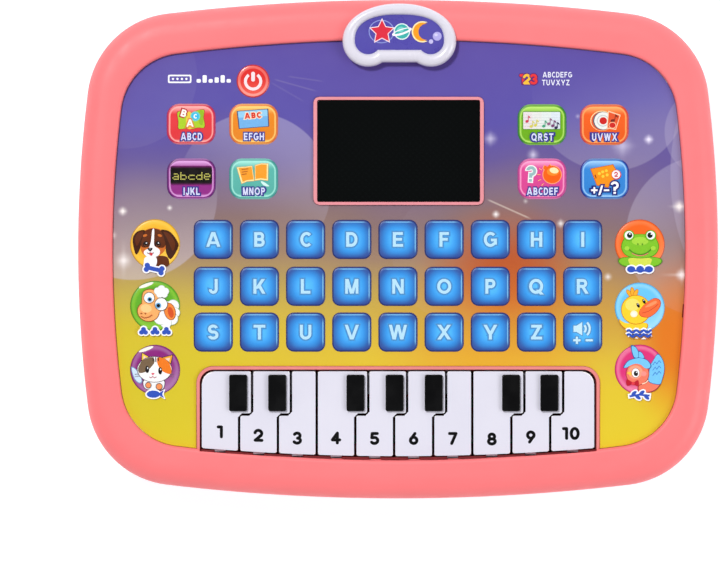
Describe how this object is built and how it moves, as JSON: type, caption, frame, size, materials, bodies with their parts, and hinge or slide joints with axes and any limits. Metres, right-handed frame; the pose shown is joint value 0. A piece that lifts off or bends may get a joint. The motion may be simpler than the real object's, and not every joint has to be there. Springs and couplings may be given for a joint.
{
  "type": "toy tablet",
  "caption": "Flat pink child's toy tablet with a printed membrane keypad, a small dark screen, a row of sprung piano keys, a badge, a rear speaker grille and a screwed battery door.",
  "frame": {"origin": "bottom centre of the toy lying on its back, at the level of the feet's undersides", "axes": "+X to the right across the keypad, +Y from the piano to the badge, +Z out of the face"},
  "size_m": [0.23, 0.1792, 0.0288],
  "materials": {
    "pink_shell": "satin gloss",
    "printed_film": "printed, satin",
    "clear_film": "satin",
    "screen_glass": "gloss",
    "white_plastic": "gloss",
    "black_plastic": "gloss",
    "badge_print": "printed, gloss",
    "circuit_board": "satin",
    "silicone": "matte",
    "steel": "satin",
    "speaker_paper": "matte",
    "cell_sleeve": "gloss",
    "rubber": "matte",
    "wire": "satin"
  },
  "bodies": {
    "casing": {"front_shell": "pink_shell", "rear_shell": "pink_shell", "overlay_film": "printed_film", "keypad_upper_film": "clear_film", "keypad_spacer_film": "clear_film", "keypad_lower_film": "clear_film", "screen_window": "screen_glass", "badge_frame": "white_plastic", "piano_hinge_rail": "white_plastic", "led_matrix": "white_plastic", "keypad_connector": "white_plastic", "voice_chip": "black_plastic", "badge_label": "badge_print", "piano_contact_board": "circuit_board", "main_board": "circuit_board", "display_board": "circuit_board", "piano_dome_strip": "silicone", "case_screw_1": "steel", "case_screw_2": "steel", "case_screw_3": "steel", "case_screw_4": "steel", "case_screw_5": "steel", "case_screw_6": "steel", "contact_negative": "steel", "contact_positive": "steel", "contact_bridge_left": "steel", "contact_bridge_right": "steel", "speaker_frame": "steel", "speaker_cone": "speaker_paper", "battery_cell_1": "cell_sleeve", "battery_cell_2": "cell_sleeve", "battery_cell_3": "cell_sleeve", "foot_1": "rubber", "foot_2": "rubber", "foot_3": "rubber", "foot_4": "rubber", "battery_lead_red": "wire", "battery_lead_black": "wire", "speaker_lead": "wire", "display_cable": "wire"},
    "piano_key_1": {"white_key_1": "white_plastic", "black_key_1": "black_plastic"},
    "piano_key_2": {"white_key_2": "white_plastic", "black_key_2": "black_plastic"},
    "piano_key_3": {"white_key_3": "white_plastic"},
    "piano_key_4": {"white_key_4": "white_plastic", "black_key_4": "black_plastic"},
    "piano_key_5": {"white_key_5": "white_plastic", "black_key_5": "black_plastic"},
    "piano_key_6": {"white_key_6": "white_plastic", "black_key_6": "black_plastic"},
    "piano_key_7": {"white_key_7": "white_plastic"},
    "piano_key_8": {"white_key_8": "white_plastic", "black_key_8": "black_plastic"},
    "piano_key_9": {"white_key_9": "white_plastic", "black_key_9": "black_plastic"},
    "piano_key_10": {"white_key_10": "white_plastic"},
    "battery_door": {"battery_door": "pink_shell"},
    "door_screw": {"battery_door_screw": "steel"}
  },
  "joints": [
    {"name": "piano_key_1_press", "type": "hinge", "parent": "casing", "child": "piano_key_1", "pos_m": [-0.0636, -0.0405, 0.0192], "axis": [1, 0, 0], "range_deg": [0, 4], "stiffness_Nm_per_rad": 0.12, "springref_deg": -2.86},
    {"name": "piano_key_2_press", "type": "hinge", "parent": "casing", "child": "piano_key_2", "pos_m": [-0.04995, -0.0405, 0.0192], "axis": [1, 0, 0], "range_deg": [0, 4], "stiffness_Nm_per_rad": 0.12, "springref_deg": -2.86},
    {"name": "piano_key_3_press", "type": "hinge", "parent": "casing", "child": "piano_key_3", "pos_m": [-0.03605, -0.0405, 0.0192], "axis": [1, 0, 0], "range_deg": [0, 4], "stiffness_Nm_per_rad": 0.12, "springref_deg": -2.86},
    {"name": "piano_key_4_press", "type": "hinge", "parent": "casing", "child": "piano_key_4", "pos_m": [-0.0222, -0.0405, 0.0192], "axis": [1, 0, 0], "range_deg": [0, 4], "stiffness_Nm_per_rad": 0.12, "springref_deg": -2.86},
    {"name": "piano_key_5_press", "type": "hinge", "parent": "casing", "child": "piano_key_5", "pos_m": [-0.00835, -0.0405, 0.0192], "axis": [1, 0, 0], "range_deg": [0, 4], "stiffness_Nm_per_rad": 0.12, "springref_deg": -2.86},
    {"name": "piano_key_6_press", "type": "hinge", "parent": "casing", "child": "piano_key_6", "pos_m": [0.0056, -0.0405, 0.0192], "axis": [1, 0, 0], "range_deg": [0, 4], "stiffness_Nm_per_rad": 0.12, "springref_deg": -2.86},
    {"name": "piano_key_7_press", "type": "hinge", "parent": "casing", "child": "piano_key_7", "pos_m": [0.0196, -0.0405, 0.0192], "axis": [1, 0, 0], "range_deg": [0, 4], "stiffness_Nm_per_rad": 0.12, "springref_deg": -2.86},
    {"name": "piano_key_8_press", "type": "hinge", "parent": "casing", "child": "piano_key_8", "pos_m": [0.0336, -0.0405, 0.0192], "axis": [1, 0, 0], "range_deg": [0, 4], "stiffness_Nm_per_rad": 0.12, "springref_deg": -2.86},
    {"name": "piano_key_9_press", "type": "hinge", "parent": "casing", "child": "piano_key_9", "pos_m": [0.04755, -0.0405, 0.0192], "axis": [1, 0, 0], "range_deg": [0, 4], "stiffness_Nm_per_rad": 0.12, "springref_deg": -2.86},
    {"name": "piano_key_10_press", "type": "hinge", "parent": "casing", "child": "piano_key_10", "pos_m": [0.06245, -0.0405, 0.0192], "axis": [1, 0, 0], "range_deg": [0, 4], "stiffness_Nm_per_rad": 0.12, "springref_deg": -2.86},
    {"name": "battery_door_open", "type": "hinge", "parent": "casing", "child": "battery_door", "pos_m": [0, -0.0382, 0.0012], "axis": [-1, 0, 0], "range_deg": [0, 100]},
    {"name": "door_screw_undo", "type": "slide", "parent": "battery_door", "child": "door_screw", "axis": [0, 0, -1], "range_m": [0, 0.007]}
  ]
}
